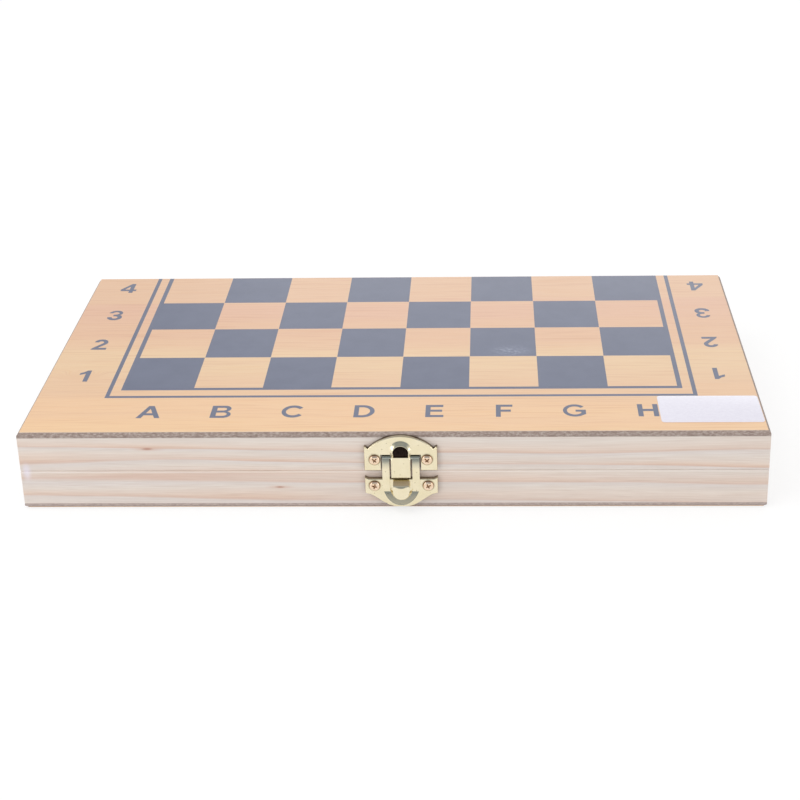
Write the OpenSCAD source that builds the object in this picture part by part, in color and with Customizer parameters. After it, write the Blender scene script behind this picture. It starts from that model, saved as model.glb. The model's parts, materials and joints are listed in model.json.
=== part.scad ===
// Folding games compendium box, closed, with a printed draughts and chess board
// outside, points for backgammon inside, two butt hinges and a duck-bill latch.
// Millimetres. Front (latch side) is -Y, +Z is up, and the origin is the centre of
// the closed box's underside. "Outward" is the distance in front of the latch face.

/* [Box] */
// Width of the box, along the seam
box_w = 290; // [284:1:340]
// Depth of the closed box, from the latch face to the hinge face
box_d = 149; // [140:1:190]
// Height of one half, from its outer face to the seam
half_h = 16.7; // [16.5:0.1:30]
// Thickness of the fibreboard panel
board_t = 2; // [1.5:0.1:3.5]
// Bevel round the panel's outer edge, except along the hinge
board_bevel = 1; // [0.4:0.1:1.3]
// Thickness of the pine rails
rail_t = 8; // [7.6:0.1:12]
// Bevel on the rails' outer edge at the seam
rail_ease = 0.3; // [0.1:0.05:0.6]

/* [Print] */
// Thickness of each paper sheet
sheet_t = 0.2; // [0.15:0.05:0.5]
// Depth of the printed layer let into a sheet
ink_t = 0.1; // [0.05:0.01:0.12]
// Side of one square of the board
square_w = 27.9; // [24:0.1:30]
// Distance of the print to the right of the middle
print_shift = 1.9; // [-2:0.1:2]
// Bare edge round each dark square
square_edge = 0.05; // [0.02:0.01:0.2]
// Width of the two frame lines round the squares
line_w = 1.7; // [0.8:0.1:2.5]
// Bare strip between the two frame lines at the sides
line_gap = 3.7; // [2:0.1:6]
// Bare strip between the two frame lines at the front
line_gap_front = 4.9; // [2:0.1:6]
// Length of a point of the backgammon print
point_l = 112; // [80:1:125]
// Bare edge beside each point
point_edge = 0.6; // [0.2:0.1:3]
// Bare edge between the points and the rails
point_root = 0.3; // [0.2:0.1:2]
// Length of the blank sticker
label_l = 39.6; // [20:0.2:42]
// Height of the blank sticker
label_h = 21.7; // [10:0.1:24]
// Thickness of the blank sticker
label_t = 0.12; // [0.08:0.01:0.3]
// Distance of the sticker from the panel's right bevel
label_right = 0.2; // [0.1:0.1:6]
// Distance of the sticker in front of the outer frame line
label_gap = 0.3; // [0.1:0.1:5]

/* [Hinges] */
// Distance of each hinge from the middle of the box
hinge_x = 85; // [60:1:115]
// Length of a hinge
hinge_l = 26; // [20:0.5:40]
// Reach of a leaf from the pin's axis
leaf_reach = 7; // [6:0.1:7.2]
// Thickness of a leaf
leaf_t = 0.75; // [0.5:0.05:1]
// Radius of the knuckles
knuckle_r = 1.6; // [1.3:0.05:2]
// Radius of the hinge pin
hinge_pin_r = 0.7; // [0.5:0.05:0.9]
// Number of knuckles, the outer ones on the lower leaf
knuckles = 5; // [3:2:7]
// Distance of a leaf's screws from the middle of the leaf
leaf_screw_x = 8; // [6:0.5:9]

/* [Latch plates] */
// Distance of the latch to the right of the middle of the box
latch_x = 3.7; // [-20:0.1:20]
// Width of the upper and the lower plate
plate_w = 28.2; // [27:0.1:32]
// Depth of the pressed plates in front of the wood
plate_depth = 1.8; // [1.6:0.05:2]
// Thickness of the brass of the plates
brass_t = 0.6; // [0.4:0.05:0.7]
// Bottom edge of the upper plate above the seam
plate_low = 0.9; // [0.3:0.1:2]
// Top of the upper plate's arch above the seam
arch_top = 15.9; // [14.5:0.1:16]
// Radius of the upper plate's arch
arch_r = 17.3; // [16.5:0.1:20]
// Tips of the horns at the upper plate's corners above the seam
horn_z = 11.3; // [10.2:0.1:11.6]
// Rise of the horns of both plates
horn_h = 0.9; // [0.4:0.1:1]
// Top edge of the lower plate below the seam
catch_top = 2.8; // [2.5:0.1:3]
// Bottom corners of the lower plate's wings below the seam
catch_corner = 9.1; // [8.4:0.1:9.6]
// Bottom of the lower plate below the seam
catch_low = 15.2; // [14:0.1:15.5]
// Distance of the screws of both plates from the seam
screw_z = 5.7; // [5.3:0.1:6]
// Distance of the upper screws from the middle of the latch
screw_x_up = 10.1; // [10.1:0.1:10.8]
// Distance of the lower screws from the middle of the latch
screw_x_low = 10.4; // [10:0.1:11]

/* [Latch loop and bill] */
// Height of the loop's pivot above the seam
pivot_z = 6.4; // [6.2:0.1:6.6]
// Distance of the loop's pivot in front of the wood
pivot_out = 1; // [0.98:0.01:1.1]
// Radius of the loop's rolled bar
bar_r = 0.9; // [0.75:0.05:0.9]
// Radius of the journals at the ends of the bar
journal_r = 0.45; // [0.3:0.05:0.5]
// Width of the loop
loop_w = 14.4; // [13.8:0.1:14.8]
// Width of the window in the loop
window_w = 8.8; // [8.4:0.1:9]
// Thickness of the loop's and the bill's brass
loop_t = 0.8; // [0.6:0.05:0.9]
// Crease of the loop's finger lip below the seam
crease_z = 7.7; // [7.3:0.1:8]
// Length of the finger lip along its slope
lip_l = 5.4; // [5:0.1:5.8]
// Angle of the finger lip from upright
lip_angle = 30; // [26:1:34]
// Bottom of the loop's window below the seam
window_low = 10.7; // [10.5:0.05:10.9]
// Width of the strap that holds the loop's bar
strap_w = 7.4; // [6.6:0.1:7.6]
// Bottom end of the strap below the seam
strap_low = 1.6; // [0.8:0.1:1.7]
// Distance of the strap's outer face in front of the wood
strap_out = 3.1; // [2.9:0.1:3.4]
// Width of the bill
bill_w = 6.2; // [5:0.1:6.6]
// Distance of the bill's outer face in front of the wood
bill_out = 5.2; // [5.1:0.05:5.3]
// Bottom of the bill below the seam
bill_low = 10; // [9.6:0.05:10.1]

/* [Screws] */
// Radius of the latch screws' heads
head_r = 2.2; // [1.8:0.1:2.3]
// Height of the latch screws' heads
head_h = 0.9; // [0.6:0.05:1.2]
// Radius of the latch screws' shanks
shank_r = 1; // [0.8:0.05:1.2]
// Length of the latch screws' shanks in the wood
shank_l = 5.5; // [4:0.1:6.5]
// Radius of the hinge screws' heads
small_head_r = 1.6; // [1.3:0.05:1.8]
// Radius of the hinge screws' shanks
small_shank_r = 0.8; // [0.6:0.05:1]
// Length of the hinge screws
small_screw_l = 6.5; // [5:0.1:9]

/* [Clearances] */
// Running gap round a pin or journal
run_gap = 0.05; // [0.02:0.01:0.08]
// Gap round a screw in its hole
screw_gap = 0.05; // [0.02:0.01:0.1]
// Gap round a leaf in its recess and under a flush face
seat_gap = 0.05; // [0.03:0.01:0.1]
// Gap round a knuckle that turns
turn_gap = 0.2; // [0.15:0.05:0.3]
// Gap beside the loop in its slot
slot_gap = 0.6; // [0.3:0.05:0.8]

/* [Hidden] */
$fn = 64;

files = 8;                                // columns of squares
ranks = 4;                                // rows of squares on one half
points = 6;                               // points at each end of a tray
far = 400;                                // longer than any cut needs
panel_t = board_t + sheet_t;              // outer face to the tray's floor
tray_w = box_w - 2 * rail_t;              // inside width of a tray
tray_d = box_d - 2 * rail_t;              // inside depth of a tray
flat_w = box_w - 2 * board_bevel;         // printed face inside the bevels
flat_front = -box_d / 2 + board_bevel;    // front edge of the printed face
squares_w = files * square_w;
squares_front = box_d / 2 - ranks * square_w;
frame_front = squares_front - line_gap_front - 2 * line_w; // front of the outer frame line
knuckle_l = hinge_l / knuckles;
recess_t = leaf_t + seat_gap;             // depth of a leaf's recess in a rim
leaf_screw_y = box_d / 2 - (leaf_reach + knuckle_r) / 2;
slot_w = loop_w + 2 * slot_gap;           // slot between the upper plate's wings
slot_top = pivot_z + bar_r + 0.4;
ear_t = 0.7;                              // cheeks that carry the loop's journals
hole_w = strap_w - 2 * brass_t;           // arched hole above the strap
hole_low = slot_top - 0.5;
hole_r = hole_w / 2;
hole_rise = 1.2;                          // straight part of the arched hole
catch_r = 27.6;                           // bottom curve of the lower plate
catch_waist = 12;                       // half width where the wings end
catch_foot = 2.6;                           // half width just below the bottom curve
bend_r = 0.3;                             // inside radius of the brass's bends
root_sink = 0.1;                          // how far a strip's root lies below a plate's face
arm_out = plate_depth + 0.2 + loop_t / 2; // middle of the loop's arms
lip_low = crease_z + lip_l * cos(lip_angle) + 0.2; // lowest point of the lip's curve

// ---------------------------------------------------------------- helpers

// Turns a half-box piece over to the other side of the seam
module flipped() translate([0, 0, 2 * half_h]) mirror([0, 0, 1]) children();

// A shape drawn as [y, z] and drawn out along X
module along_x(width) rotate([90, 0, 90]) linear_extrude(width, center = true) children();

// A shape drawn as [x, z] and drawn out from one distance in front to another
module outward(from, to) translate([0, -from, 0]) rotate([90, 0, 0])
    linear_extrude(to - from) children();

// The middle of the latch, on the seam and on the wood's front face
module at_latch() translate([latch_x, -box_d / 2, half_h]) children();

function unit(v) = v / norm(v);
function left_of(v) = [-v[1], v[0]];

// The arc of radius r that replaces corner p between a and b, in n pieces
function bend(a, p, b, r, n) =
    let (u = unit(a - p), v = unit(b - p), half = acos(u * v) / 2,
         middle = p + unit(u + v) * r / sin(half),
         start = p + u * r / tan(half) - middle,
         turn = sign(cross(p - a, b - p)) * (180 - 2 * half) / n)
    [for (k = [0 : n]) middle + [
        start[0] * cos(k * turn) - start[1] * sin(k * turn),
        start[0] * sin(k * turn) + start[1] * cos(k * turn)
    ]];

// A line with each inner corner bent to radius r
function bent(p, r, n = 6) = [
    p[0],
    for (i = [1 : len(p) - 2]) each bend(p[i - 1], p[i], p[i + 1], r, n),
    p[len(p) - 1]
];

// The same line moved sideways by d
function beside(p, d) = [
    for (i = [0 : len(p) - 1])
        let (u = unit(p[min(i + 1, len(p) - 1)] - p[min(i, len(p) - 2)]),
             v = unit(p[max(i, 1)] - p[max(i - 1, 0)]),
             m = unit(left_of(u) + left_of(v)))
        p[i] + m * d / (m * left_of(u))
];

// A strip of sheet brass along a line, cut to a width
module strip(path, t, width) {
    line = bent(path, bend_r + t / 2);
    other = beside(line, -t / 2);
    along_x(width) polygon(concat(beside(line, t / 2),
        [for (i = [len(other) - 1 : -1 : 0]) other[i]]));
}

// ---------------------------------------------------------------- panels and sheets

// The lower panel: bevelled at the front and the two sides, square at the hinge
module board() {
    low = sheet_t;
    intersection() {
        along_x(box_w) polygon([
            [flat_front, low], [box_d / 2, low], [box_d / 2, panel_t],
            [-box_d / 2, panel_t], [-box_d / 2, low + board_bevel]
        ]);
        outward(-box_d / 2, box_d / 2) polygon([
            [-flat_w / 2, low], [flat_w / 2, low], [box_w / 2, low + board_bevel],
            [box_w / 2, panel_t], [-box_w / 2, panel_t], [-box_w / 2, low + board_bevel]
        ]);
    }
}

// Dark squares: on the lower half the odd ones, on the upper half the even ones
module squares(parity) {
    side = square_w - 2 * square_edge;
    for (file = [0 : files - 1], rank = [0 : ranks - 1])
        if ((file + rank) % 2 == parity)
            translate([-squares_w / 2 + file * square_w + square_edge,
                       squares_front + rank * square_w + square_edge])
                square([side, side]);
}

// One frame line, at its own distance beside and in front of the squares
module frame_line(side, front) difference() {
    translate([-squares_w / 2 - side - line_w, squares_front - front - line_w])
        square([squares_w + 2 * (side + line_w), box_d / 2 - squares_front + front + line_w]);
    translate([-squares_w / 2 - side, squares_front - front]) square([squares_w + 2 * side, far]);
}

module dark_print(parity) translate([print_shift, 0]) {
    squares(parity);
    frame_line(square_edge, square_edge);
    frame_line(line_w + line_gap, line_w + line_gap_front);
}

module print_sheet(parity) difference() {
    translate([-flat_w / 2, flat_front, 0]) cube([flat_w, box_d / 2 - flat_front, sheet_t]);
    translate([0, 0, -1]) linear_extrude(1 + ink_t) dark_print(parity);
}

module print_layer(parity) linear_extrude(ink_t) dark_print(parity);

// Points of one colour, based on both ends of the tray
module tray_points(colour) {
    pitch = tray_d / points;
    for (end = [-1, 1], k = [0 : points - 1])
        if ((k + (end + 1) / 2) % 2 == colour) {
            low = -tray_d / 2 + k * pitch;
            root = end * (tray_w / 2 - point_root);
            polygon([
                [root, low + point_edge],
                [root, low + pitch - point_edge],
                [end * (tray_w / 2 - point_l), low + pitch / 2]
            ]);
        }
}

module liner() difference() {
    translate([-tray_w / 2, -tray_d / 2, panel_t]) cube([tray_w, tray_d, sheet_t]);
    translate([0, 0, panel_t + sheet_t - ink_t]) linear_extrude(1) {
        tray_points(0);
        tray_points(1);
    }
}

module point_layer(colour) translate([0, 0, panel_t + sheet_t - ink_t])
    linear_extrude(ink_t) tray_points(colour);

// ---------------------------------------------------------------- rails

// Outside of the rails of one half, with the eased edge at the seam
module rim() {
    module side(half) polygon([
        [-half, panel_t], [half, panel_t], [half, half_h - rail_ease],
        [half - rail_ease, half_h], [rail_ease - half, half_h], [-half, half_h - rail_ease]
    ]);
    intersection() {
        along_x(box_w) side(box_d / 2);
        outward(-box_d / 2, box_d / 2) side(box_w / 2);
    }
}

module long_rail(front) intersection() {
    rim();
    translate([-far / 2, front ? -box_d / 2 : box_d / 2 - rail_t, 0]) cube([far, rail_t, far]);
}

module side_rail(side) intersection() {
    rim();
    translate([side * (box_w - rail_t) / 2, 0, half_h / 2])
        cube([rail_t, tray_d, half_h], center = true);
}

// Holes for the latch screws, at one distance apart
module latch_pilots(x, z) at_latch() for (s = [-1, 1])
    translate([s * x, -1, z]) rotate([-90, 0, 0])
        cylinder(r = shank_r + screw_gap, h = 1 + shank_l + screw_gap);

module front_rail(x) difference() {
    long_rail(true);
    latch_pilots(x, -screw_z);
}

// The back rail: recesses for the leaves, a groove for the knuckles, screw holes
module back_rail() difference() {
    long_rail(false);
    for (s = [-1, 1]) translate([s * hinge_x, 0, 0]) {
        translate([-hinge_l / 2 - seat_gap, box_d / 2 - leaf_reach - seat_gap, half_h - recess_t])
            cube([hinge_l + 2 * seat_gap, far, far]);
        translate([-hinge_l / 2 - turn_gap, box_d / 2, half_h])
            rotate([0, 90, 0]) cylinder(r = knuckle_r + turn_gap, h = hinge_l + 2 * turn_gap);
        for (k = [-1, 1]) translate([k * leaf_screw_x, leaf_screw_y, half_h - small_screw_l - 2 * seat_gap])
            cylinder(r = small_shank_r + screw_gap, h = far);
    }
}

// ---------------------------------------------------------------- hinges

// Knuckles first, first + 2 and so on, with more radius for a cut
module barrel(first, more) for (k = [first : 2 : knuckles - 1]) {
    gap = more > 0 ? -turn_gap / 2 : turn_gap / 4;
    translate([-hinge_l / 2 + k * knuckle_l + gap, box_d / 2, half_h])
        rotate([0, 90, 0]) cylinder(r = knuckle_r + more, h = knuckle_l - 2 * gap);
}

// A leaf below the seam, with knuckles first, first + 2 and so on
module leaf(side, first) translate([side * hinge_x, 0, 0]) difference() {
    union() {
        difference() {
            translate([-hinge_l / 2, box_d / 2 - leaf_reach, half_h - recess_t])
                cube([hinge_l, leaf_reach - hinge_pin_r - run_gap - 0.1, leaf_t]);
            barrel(1 - first, turn_gap);
        }
        barrel(first, 0);
    }
    translate([-hinge_l, box_d / 2, half_h]) rotate([0, 90, 0])
        cylinder(r = hinge_pin_r + run_gap, h = 2 * hinge_l);
    for (k = [-1, 1]) translate([k * leaf_screw_x, leaf_screw_y, half_h - recess_t])
        countersink(screw_gap);
}

module countersink(gap) {
    translate([0, 0, -far / 2]) cylinder(r = small_shank_r + gap, h = far);
    cylinder(r1 = small_shank_r + gap, r2 = small_head_r + gap, h = leaf_t + 0.001);
}

module hinge_pin(side) translate([side * hinge_x - hinge_l / 2, box_d / 2, half_h])
    rotate([0, 90, 0]) cylinder(r = hinge_pin_r, h = hinge_l);

// Flat-headed screws through both leaves of one half
module hinge_screws() for (s = [-1, 1], k = [-1, 1])
    translate([s * hinge_x + k * leaf_screw_x, leaf_screw_y, half_h - recess_t]) difference() {
        union() {
            cylinder(r1 = small_shank_r, r2 = small_head_r, h = leaf_t);
            translate([0, 0, leaf_t - small_screw_l])
                cylinder(r = small_shank_r, h = small_screw_l - leaf_t / 2);
        }
        cross_recess(small_head_r, leaf_t);
    }

// A cross cut down into a head of radius r whose top is at z
module cross_recess(r, z) for (a = [0, 90]) rotate([0, 0, a])
    translate([-r * 0.6, -r * 0.15, z - r * 0.25]) cube([r * 1.2, r * 0.3, r]);

// ---------------------------------------------------------------- latch

// A pointed corner that rises by h from z, hollowed towards the middle
module horns(z, h, inset = 0) for (s = [-1, 1]) mirror([s < 0 ? 1 : 0, 0])
    intersection() {
        difference() {
            translate([plate_w / 2 - 3 * h, z - h]) square([3 * h - inset, 2 * h]);
            translate([plate_w / 2 - 3 * h + 0.5, z + 2.4 * h]) circle(r = 2.6 * h);
        }
        translate([0, z - h]) square([plate_w / 2, 2 * h]);
    }

module arch_outline(inset) intersection() {
    translate([0, arch_top - arch_r]) circle(r = arch_r - inset);
    translate([-plate_w / 2 + inset, plate_low + inset]) square([plate_w - 2 * inset, arch_top]);
}

// Upper plate: an arched pressing, turned back round its edge, with the strap
module latch_plate() at_latch() difference() {
    union() {
        difference() {
            outward(0, plate_depth) union() {
                arch_outline(0);
                horns(horn_z - horn_h, horn_h);
            }
            outward(-1, plate_depth - brass_t) arch_outline(brass_t);
            outward(-1, far) translate([-slot_w / 2, -1]) square([slot_w, slot_top + 1]);
        }
        for (s = [-1, 1]) mirror([s < 0 ? 1 : 0, 0, 0])
            outward(0, plate_depth - brass_t / 2)
                translate([slot_w / 2, pivot_z - 1.3]) square([ear_t, slot_top + 1.3 - pivot_z + brass_t]);
        strip([
            [root_sink - plate_depth + brass_t / 2, slot_top + 2.2],
            [root_sink - plate_depth + brass_t / 2, slot_top + 1.4],
            [-(strap_out - brass_t / 2), slot_top - 0.6],
            [-(strap_out - brass_t / 2), 1.2 - strap_low],
            [-(strap_out - brass_t), -strap_low]
        ], brass_t, strap_w);
    }
    outward(-1, far) {
        translate([-hole_r, hole_low]) square([hole_w, slot_top + hole_rise - hole_low]);
        translate([0, slot_top + hole_rise]) circle(r = hole_r);
    }
    for (s = [-1, 1]) translate([s * screw_x_up, 0, screw_z]) rotate([90, 0, 0])
        cylinder(r = shank_r + 0.3, h = far, center = true);
    translate([0, -pivot_out, pivot_z]) rotate([0, 90, 0])
        cylinder(r = journal_r + run_gap, h = slot_w + 2 * ear_t - 0.2, center = true);
}

module catch_outline(inset) {
    half = plate_w / 2 - inset;
    run = catch_waist - catch_foot;                 // a flank's run and drop
    drop = catch_low + 1 - catch_corner;
    lean = inset * norm([run, drop]) / drop;
    waist = catch_waist - lean + inset * run / drop;
    intersection() {
        translate([0, catch_r - catch_low]) circle(r = catch_r - inset);
        polygon([
            [-half, -catch_top - inset], [-half, inset - catch_corner],
            [-waist, inset - catch_corner], [lean - catch_foot, -catch_low - 1],
            [catch_foot - lean, -catch_low - 1], [waist, inset - catch_corner],
            [half, inset - catch_corner], [half, -catch_top - inset]
        ]);
    }
}

// Lower plate: a pressing turned back round its edge, with the duck-bill
module catch_plate() at_latch() difference() {
    union() {
        difference() {
            outward(0, plate_depth) union() {
                catch_outline(0);
                horns(-catch_top, horn_h - 0.2);
            }
            outward(-1, plate_depth - brass_t) catch_outline(brass_t);
        }
        intersection() {
            strip([
                [root_sink - plate_depth + loop_t / 2, -catch_top - 1.6],
                [root_sink - plate_depth + loop_t / 2, -catch_top - 0.5],
                [-(bill_out - loop_t / 2), -catch_top - 1.7],
                [-(bill_out - loop_t / 2), -bill_low]
            ], loop_t, bill_w);
            outward(-1, far) union() {
                translate([-bill_w / 2, bill_w / 2 - bill_low]) square([bill_w, far]);
                translate([0, bill_w / 2 - bill_low]) circle(r = bill_w / 2);
            }
        }
    }
    for (s = [-1, 1]) translate([s * screw_x_low, 0, -screw_z]) rotate([90, 0, 0])
        cylinder(r = shank_r + 0.3, h = far, center = true);
}

// The swinging loop: a rolled bar with journals, two arms and a finger lip
module latch_loop() at_latch() {
    lip = [sin(lip_angle), cos(lip_angle)] * lip_l;
    intersection() {
        strip([
            [-pivot_out, pivot_z], [-arm_out, pivot_z - 3.9], [-arm_out, -crease_z],
            [-arm_out - lip[0], -crease_z - lip[1]]
        ], loop_t, loop_w);
        outward(-1, far) difference() {
            union() {
                translate([-loop_w / 2, loop_w / 2 - lip_low]) square([loop_w, far]);
                translate([0, loop_w / 2 - lip_low]) circle(r = loop_w / 2);
            }
            translate([-window_w / 2, window_w / 2 - window_low])
                square([window_w, pivot_z - bar_r - 0.3 - window_w / 2 + window_low]);
            translate([0, window_w / 2 - window_low]) circle(r = window_w / 2);
        }
    }
    translate([0, -pivot_out, pivot_z]) rotate([0, 90, 0]) {
        cylinder(r = bar_r, h = loop_w, center = true);
        cylinder(r = journal_r, h = slot_w + 2 * ear_t - 0.4, center = true);
    }
}

// Round-headed cross-recess screws of one plate
module round_screws(x, z) at_latch() for (s = [-1, 1])
    translate([s * x, -plate_depth, z]) rotate([90, 0, 0]) {
        dome_r = (head_r * head_r + head_h * head_h) / (2 * head_h);
        difference() {
            intersection() {
                translate([0, 0, head_h - dome_r]) sphere(r = dome_r);
                cylinder(r = head_r, h = head_h);
            }
            cross_recess(head_r, head_h);
        }
        translate([0, 0, -plate_depth - shank_l]) cylinder(r = shank_r, h = plate_depth + shank_l);
    }

// The blank sticker near the front right corner of the lid
module blank_label() translate([
    flat_w / 2 - label_right - label_l, frame_front - label_gap - label_h, 2 * half_h
]) cube([label_l, label_h, label_t]);

// ---------------------------------------------------------------- nodes

color("#a08070") board();  // lower_board
color("#edc9a0") print_sheet(1);  // lower_print_sheet
color("#565c6c") print_layer(1);  // lower_print_dark
color("#edd2ae") liner();  // lower_liner
color("#565c6c") point_layer(0);  // lower_points_dark
color("#a8503c") point_layer(1);  // lower_points_red
color("#e0cdbd") front_rail(screw_x_low);  // lower_front_rail
color("#dfcbb9") back_rail();  // lower_back_rail
color("#dcc7b5") side_rail(-1);  // lower_left_rail
color("#dcc7b5") side_rail(1);  // lower_right_rail
color("#dcca84") catch_plate();
color("#c79a7a") round_screws(screw_x_low, -screw_z);  // catch_screws
color("#d6c27c") leaf(-1, 0);  // hinge_left_leaf_lower
color("#d6c27c") leaf(1, 0);  // hinge_right_leaf_lower
color("#b9b9b4") hinge_pin(-1);  // hinge_left_pin
color("#b9b9b4") hinge_pin(1);  // hinge_right_pin
color("#c9b070") hinge_screws();  // hinge_screws_lower
color("#a08070") flipped() board();  // upper_board
color("#edc9a0") flipped() print_sheet(0);  // upper_print_sheet
color("#565c6c") flipped() print_layer(0);  // upper_print_dark
color("#edd2ae") flipped() liner();  // upper_liner
color("#565c6c") flipped() point_layer(1);  // upper_points_dark
color("#a8503c") flipped() point_layer(0);  // upper_points_red
color("#e0cdbd") flipped() front_rail(screw_x_up);  // upper_front_rail
color("#dfcbb9") flipped() back_rail();  // upper_back_rail
color("#dcc7b5") flipped() side_rail(-1);  // upper_left_rail
color("#dcc7b5") flipped() side_rail(1);  // upper_right_rail
color("#dcca84") latch_plate();
color("#c79a7a") round_screws(screw_x_up, screw_z);  // latch_screws
color("#d6c27c") flipped() leaf(-1, 1);  // hinge_left_leaf_upper
color("#d6c27c") flipped() leaf(1, 1);  // hinge_right_leaf_upper
color("#c9b070") flipped() hinge_screws();  // hinge_screws_upper
color("#e6e4ee") blank_label();
color("#d8c680") latch_loop();
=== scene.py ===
# %% [markdown]
# # A folding games box, closed
# The construction comes ready made: panels, rails, hinges and latch are fixed solids.
# This script gives them their finishes, prints the letters and numbers of the board,
# and adds the studio. Everything is in metres, with the latch side towards -Y.

# %% Load the fixed model
import json
import math

import bmesh
import bpy
from mathutils import Matrix, Vector


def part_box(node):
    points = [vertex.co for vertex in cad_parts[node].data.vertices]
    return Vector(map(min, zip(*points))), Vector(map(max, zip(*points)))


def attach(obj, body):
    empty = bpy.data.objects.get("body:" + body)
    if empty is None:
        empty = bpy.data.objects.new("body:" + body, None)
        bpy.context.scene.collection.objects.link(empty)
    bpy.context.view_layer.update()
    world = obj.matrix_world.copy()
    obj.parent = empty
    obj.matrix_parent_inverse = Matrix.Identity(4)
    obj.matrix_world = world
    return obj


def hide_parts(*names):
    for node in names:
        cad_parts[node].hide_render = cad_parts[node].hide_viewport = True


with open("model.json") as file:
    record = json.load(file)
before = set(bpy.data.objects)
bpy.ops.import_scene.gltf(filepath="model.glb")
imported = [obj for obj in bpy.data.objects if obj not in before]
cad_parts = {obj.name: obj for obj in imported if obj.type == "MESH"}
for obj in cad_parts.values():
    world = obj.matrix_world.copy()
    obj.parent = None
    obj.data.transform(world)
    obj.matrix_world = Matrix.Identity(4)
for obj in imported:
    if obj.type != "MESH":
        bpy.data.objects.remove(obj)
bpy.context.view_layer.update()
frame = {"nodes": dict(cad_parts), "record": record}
MM = 0.001
scene = bpy.context.scene
nodes = frame["nodes"]

# %% [markdown]
# ## Places that everything else is measured from
# The printed face, the seam and the latch are read from the solids, so a new size of
# box carries its print and its finishes along.

# %% Key places
board_low, board_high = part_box("upper_board")
front_y, hinge_y = board_low.y, board_high.y
top_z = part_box("upper_print_sheet")[1].z
seam_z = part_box("lower_front_rail")[1].z
# The latch sits a little to the right of the middle. Its screws are placed from there
# and from the seam, in millimetres.
LATCH_RIGHT = 3.7
LATCH = Vector((LATCH_RIGHT * MM, front_y, seam_z))
UPPER_SCREW, LOWER_SCREW = (10.1, 5.7), (10.4, -5.7)
print("top", top_z, "seam", seam_z, "front", front_y)

# %% [markdown]
# ## The camera first
# The lens, the tilt and the small shift come from fitting the box's corners and the
# corners of the squares to the photograph, with the image taken as 800 by 800.

# %% Camera
IMAGE = 800
FOCAL_PX = 1642.6
CENTRE_PX = (430, 240)
CAMERA_AT = Vector((38.91, -628.39, 338.57)) * MM
YAW, PITCH, ROLL = -0.03987, 0.38676, -0.02264


def look(yaw, pitch, roll):
    """The camera's turn: yaw to the right, pitch down, roll clockwise, in radians."""
    forward = Vector((
        math.sin(yaw) * math.cos(pitch), math.cos(yaw) * math.cos(pitch), -math.sin(pitch),
    ))
    right = Vector((math.cos(yaw), -math.sin(yaw), 0))
    up = right.cross(forward)
    turned_right = right * math.cos(roll) + up * math.sin(roll)
    turned_up = up * math.cos(roll) - right * math.sin(roll)
    return Matrix((turned_right, turned_up, -forward)).transposed()


camera_data = bpy.data.cameras.new("camera")
camera_data.sensor_width = 36
camera_data.lens = FOCAL_PX / IMAGE * camera_data.sensor_width
camera_data.shift_x = (IMAGE / 2 - CENTRE_PX[0]) / IMAGE
camera_data.shift_y = -(IMAGE / 2 - CENTRE_PX[1]) / IMAGE
camera_data.clip_start = 0.01
camera = bpy.data.objects.new("camera", camera_data)
camera.matrix_world = Matrix.Translation(CAMERA_AT) @ look(YAW, PITCH, ROLL).to_4x4()
scene.collection.objects.link(camera)
scene.camera = camera
print("lens", round(camera_data.lens, 2), "mm")

# %% [markdown]
# ## Helpers for colours and nodes
# Colours are written as on a screen and turned to linear values. One function adds a
# node with its settings; patterns are scaled by sizes in millimetres.

# %% Colours and nodes


def colour(code):
    """An sRGB hex colour as the linear values that shaders want."""
    parts = [int(code[i : i + 2], 16) / 255 for i in (1, 3, 5)]
    return [c / 12.92 if c <= 0.04045 else ((c + 0.055) / 1.055) ** 2.4 for c in parts] + [1.0]


def add(tree, kind, inputs=None, stops=(), **settings):
    """A node with its settings. An input is a value, a socket, or a node to link from."""
    node = tree.nodes.new(kind)
    for name, value in settings.items():
        setattr(node, name, value)
    for name, value in (inputs or {}).items():
        if isinstance(value, bpy.types.Node):
            value = next(output for output in value.outputs if output.enabled)
        if isinstance(value, bpy.types.NodeSocket):
            tree.links.new(value, node.inputs[name])
        else:
            node.inputs[name].default_value = value
    for index, (position, code) in enumerate(stops):
        elements = node.color_ramp.elements
        element = elements[index] if index < 2 else elements.new(position)
        element.position, element.color = position, colour(code)
    return node


def per_mm(*sizes):
    """The Mapping scale that makes each size, in millimetres, one unit of a pattern."""
    return [1 / (size * MM) for size in sizes]


def material(name, roughness=0.5, **sockets):
    """A new material, its tree, its shader and the object coordinates in metres."""
    made = bpy.data.materials.new(name)
    made.use_nodes = True
    tree = made.node_tree
    shader = tree.nodes["Principled BSDF"]
    shader.inputs["Roughness"].default_value = roughness
    for key, value in sockets.items():
        shader.inputs[key.replace("_", " ")].default_value = value
    return made, tree, shader, add(tree, "ShaderNodeTexCoord").outputs["Object"]


def grains(tree, place, sizes, detail=2.0, roughness=0.5, offset=(0, 0, 0)):
    """A random pattern whose grains have the given sizes in millimetres."""
    scaled = {"Vector": place, "Scale": per_mm(*sizes), "Location": offset}
    cells = add(tree, "ShaderNodeMapping", scaled)
    settings = {"Vector": cells, "Scale": 1.0, "Detail": detail, "Roughness": roughness}
    return add(tree, "ShaderNodeTexNoise", settings)


def shaded(tree, base, pattern, stops):
    """Darkens the base by a pattern, whose values pick the colours that multiply it."""
    tones = add(tree, "ShaderNodeValToRGB", {"Fac": pattern}, stops)
    return add(tree, "ShaderNodeMix", {0: 1.0, 6: base, 7: tones}, data_type="RGBA", blend_type="MULTIPLY")


def stain_or_painted_light(tree, base, where, share, code):
    """Lays a colour over the base where a mask is 1, up to a share of full strength; used for stains and
    for painted light and shade.
    """
    strength = add(tree, "ShaderNodeMath", {0: where, 1: share}, operation="MULTIPLY")
    return add(tree, "ShaderNodeMix", {0: strength, 6: base, 7: colour(code)}, data_type="RGBA")


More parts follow.
